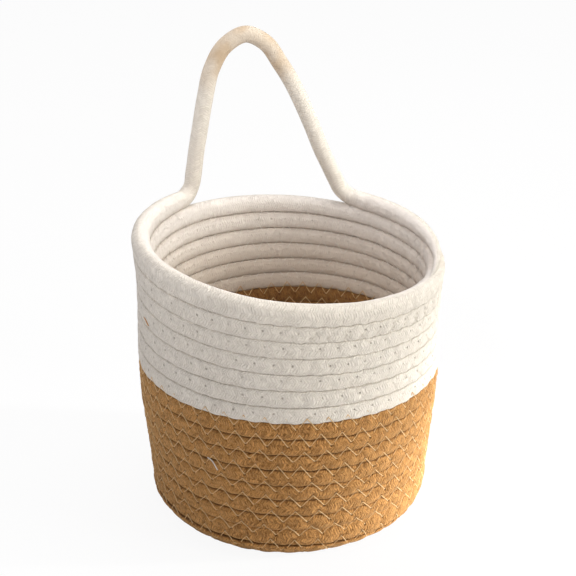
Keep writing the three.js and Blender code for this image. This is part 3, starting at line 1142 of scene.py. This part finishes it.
class BASKET_OT_tan_rope(bpy.types.Operator):
    """Coil the tan rope: the base and the lower wall"""

    bl_idname = "basket.tan_rope"
    bl_label = "Tan Rope"

    def execute(self, context):
        sizes = context.scene.basket_sizes
        colour = tuple(context.scene.basket_colours.tan)
        material = braided_cotton("tan_cotton", colour, TAN_MARKS, sizes.stitch / MM)
        draw = np.random.RandomState(SEED)
        rope = rope_rings(tan_path(), sizes, draw)
        piece = sleeve("tan_rope_sleeve", rope, 0, len(rope["rings"]) - 1, material)
        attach(piece, "basket")
        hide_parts("tan_rope")
        return {"FINISHED"}


class BASKET_OT_natural_rope(bpy.types.Operator):
    """Coil the natural rope: the upper wall, the carrying loop and the tail"""

    bl_idname = "basket.natural_rope"
    bl_label = "Natural Rope"

    def execute(self, context):
        sizes = context.scene.basket_sizes
        colour = tuple(context.scene.basket_colours.natural)
        material = braided_cotton("natural_cotton", colour, NATURAL_MARKS, sizes.stitch / MM)
        draw = np.random.RandomState(SEED + 1)
        path = natural_path()
        points = path[0]
        rope = rope_rings(path, sizes, draw)
        in_loop = np.flatnonzero(points[:, 2] > HINGE.z / MM - LOOP_OVERLAP)
        left, right = in_loop[0], in_loop[-1]
        wall = sleeve("natural_rope_sleeve", rope, 0, left, material)
        loop = sleeve("carrying_loop_sleeve", rope, left, right, material)
        tail = sleeve("rope_tail_sleeve", rope, right, len(points) - 1, material)
        for piece, node in ((wall, "natural_rope"), (tail, "rope_tail")):
            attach(piece, "basket")
            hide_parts(node)
        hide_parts("carrying_loop")
        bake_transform(loop)
        free_path = points[left : right + 1] * MM
        return {"FINISHED"}


# Name, lower turn at the start and end, thread, mm sunk into the rope, share of its thickness
SEAMS = (
    ("tan_seam", START_TURN + 0.6, 0.02, "beige", -0.06, 1),
    ("natural_seam", 0.04, LEFT_TURN - 1.01, "undyed", 0.12, 0.85),
    ("tail_seam", RIGHT_TURN - 0.99, TAIL_TURN - 1.02, "undyed", 0.12, 0.85),
)
# Name, thread, start and end (degrees round the wall, courses above the colour change),
# thickness and bow
FIBRES = (
    ("lint", "undyed", (222.0, -3.4), (217.75, -3.95), 0.6, 0.12),
    ("fleck", "stray", (256.75, 2.9), (252.5, 2.7), 0.5, 0.05),
)


class BASKET_OT_seam_thread(bpy.types.Operator):
    """Sew the zigzag over every seam, outside and inside, and lay on two loose fibres"""

    bl_idname = "basket.seam_thread"
    bl_label = "Seam Thread"

    def execute(self, context):
        sizes = context.scene.basket_sizes
        colour = tuple(context.scene.basket_colours.thread)
        pale = tuple(context.scene.basket_colours.natural)
        dyed = tuple(context.scene.basket_colours.tan)
        draw = np.random.RandomState(SEED)
        materials = {
            # The beige thread's down legs get painted shade in a tan colour
            "beige": sewing_thread("beige_thread", colour, shade(dyed, 1.25), 0.3),
            "undyed": sewing_thread("undyed_thread", pale, pale, 0.0),
            "stray": sewing_thread("stray_fibre", shade(dyed, 1.1), dyed, 0.0),
        }
        pieces = []
        for name, start, end, kind, sunk, fine in SEAMS:
            thickness = sizes.thread / MM * fine
            for side, face in ((1, "outside"), (-1, "inside")):
                thread = seam_thread(start, end, side, sunk, sizes, draw)
                piece = thread_tube(f"{name}_{face}", *thread, thickness, materials[kind])
                pieces.append(piece)
        for name, kind, start, end, thickness, bow in FIBRES:
            pieces.append(fibre(name, start, end, thickness, bow, sizes, materials[kind]))
        for piece in pieces:
            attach(piece, "basket")
        return {"FINISHED"}


WORLD_LIGHT = 0.525
WORLD_COLOUR = (0.96, 0.95, 1.0)
# Name, place, target, power, colour and size of the lamps
LAMPS = (
    ("window", (0.94, -0.45, 0.56), (0, 0, 0.07), 7.6, (1.0, 0.985, 0.9), 0.6),
    ("sky", (0.1, 0.15, 1.2), (0, 0, 0.07), 5.5, (1.0, 0.98, 0.96), 0.7),
)
# The same of the spots, which light up parts of the basket, with their width in degrees
SPOTS = (
    ("upper_fill", (-0.4, -0.8, 0.8), (0.01, 0.06, 0.17), 17.0, (1.0, 0.975, 0.96), 19),
    ("low_side", (0.97, -0.2, 0.2), (0.06, 0, 0.003), 140.0, (1.0, 1.0, 1.0), 11.3),
    ("inner_left", (0.8, -0.15, 0.6), (-0.05, 0.01, 0.125), 27.0, (1.0, 1.0, 1.0), 6.5),
    ("inner_right", (-0.75, -0.35, 0.8), (0.052, 0.015, 0.112), 7.0, (1.0, 0.98, 1.0), 6),
)
SPOT_SOFTNESS = 0.06
CAMERA_AZIMUTH = math.radians(-10.43)
CAMERA_ELEVATION = math.radians(24.78)
CAMERA_DISTANCE = 0.6658
CAMERA_TARGET = (-0.0004, 0.0, 0.1055)
CAMERA_LENS = 90.8
CAMERA_SENSOR = 36
FLOOR_SIZE = 8


def soft_daylight():
    """A world that lights the basket evenly and reads as white to the camera."""
    world = bpy.data.worlds.new("soft_daylight")
    world.use_nodes = True
    tree = world.node_tree
    path = new_node(tree, "ShaderNodeLightPath", {})
    seen = Field(tree, path.outputs["Is Camera Ray"])
    for ray in ("Is Glossy Ray", "Is Transmission Ray"):
        seen = seen.math("MAXIMUM", Field(tree, path.outputs[ray]))
    inputs = {"Color": WORLD_COLOUR, "Strength": seen.at_least(WORLD_LIGHT)}
    set_inputs(tree, tree.nodes["Background"], inputs)
    return world


def aimed_lamp(kind, name, place, target, power, colour):
    """A lamp at this place that is turned to its target."""
    bpy.ops.object.light_add(type=kind, location=place)
    lamp = bpy.context.active_object
    lamp.name = name
    lamp.data.energy = power
    lamp.data.color = colour
    aim = Vector(target) - Vector(place)
    lamp.rotation_euler = aim.to_track_quat("-Z", "Y").to_euler()
    return lamp.data


def aimed_camera():
    level = math.cos(CAMERA_ELEVATION)
    side, back = math.sin(CAMERA_AZIMUTH) * level, math.cos(CAMERA_AZIMUTH) * level
    away = Vector((side, -back, math.sin(CAMERA_ELEVATION)))
    bpy.ops.object.camera_add(location=Vector(CAMERA_TARGET) + away * CAMERA_DISTANCE)
    camera = bpy.context.active_object
    camera.rotation_euler = (-away).to_track_quat("-Z", "Y").to_euler()
    camera.data.sensor_width = CAMERA_SENSOR
    camera.data.lens = CAMERA_LENS
    return camera


class BASKET_OT_stage(bpy.types.Operator):
    """Set the floor, the light and the camera"""

    bl_idname = "basket.stage"
    bl_label = "Stage"

    def execute(self, context):
        bpy.ops.object.select_all(action="DESELECT")
        bpy.ops.mesh.primitive_plane_add(size=FLOOR_SIZE)
        floor = context.active_object
        floor.name = "floor"
        floor.data.materials.append(floor_material())
        context.scene.world = soft_daylight()
        for *values, size in LAMPS:
            aimed_lamp("AREA", *values).size = size
        for *values, width in SPOTS:
            spot = aimed_lamp("SPOT", *values)
            spot.spot_size = math.radians(width)
            spot.spot_blend = 1.0
            spot.shadow_soft_size = SPOT_SOFTNESS
        context.scene.camera = aimed_camera()
        context.scene.view_settings.view_transform = "Standard"
        return {"FINISHED"}


class BASKET_PT_panel(bpy.types.Panel):
    """Sizes, colours and pieces of the basket"""

    bl_idname = "BASKET_PT_panel"
    bl_label = "Rope Basket"
    bl_space_type = "VIEW_3D"
    bl_region_type = "UI"
    bl_category = "Basket"

    def draw(self, context):
        layout = self.layout
        for group in (context.scene.basket_sizes, context.scene.basket_colours):
            for name in group.bl_rna.properties.keys():
                if name not in ("rna_type", "name"):
                    layout.prop(group, name)
        for operator in OPERATORS:
            layout.operator(operator.bl_idname)


OPERATORS = (
    BASKET_OT_tan_rope,
    BASKET_OT_natural_rope,
    BASKET_OT_seam_thread,
    BASKET_OT_stage,
)
CLASSES = (BasketSizes, BasketColours, *OPERATORS, BASKET_PT_panel)


def register():
    for cls in CLASSES:
        bpy.utils.register_class(cls)
    bpy.types.Scene.basket_sizes = bpy.props.PointerProperty(type=BasketSizes)
    bpy.types.Scene.basket_colours = bpy.props.PointerProperty(type=BasketColours)


def unregister():
    del bpy.types.Scene.basket_colours
    del bpy.types.Scene.basket_sizes
    for cls in reversed(CLASSES):
        bpy.utils.unregister_class(cls)


def main():
    register()
    bpy.ops.object.select_all(action="DESELECT")
    bpy.ops.basket.tan_rope()
    bpy.ops.basket.natural_rope()
    bpy.ops.basket.seam_thread()
    bpy.ops.basket.stage()


if __name__ == "__main__":
    main()
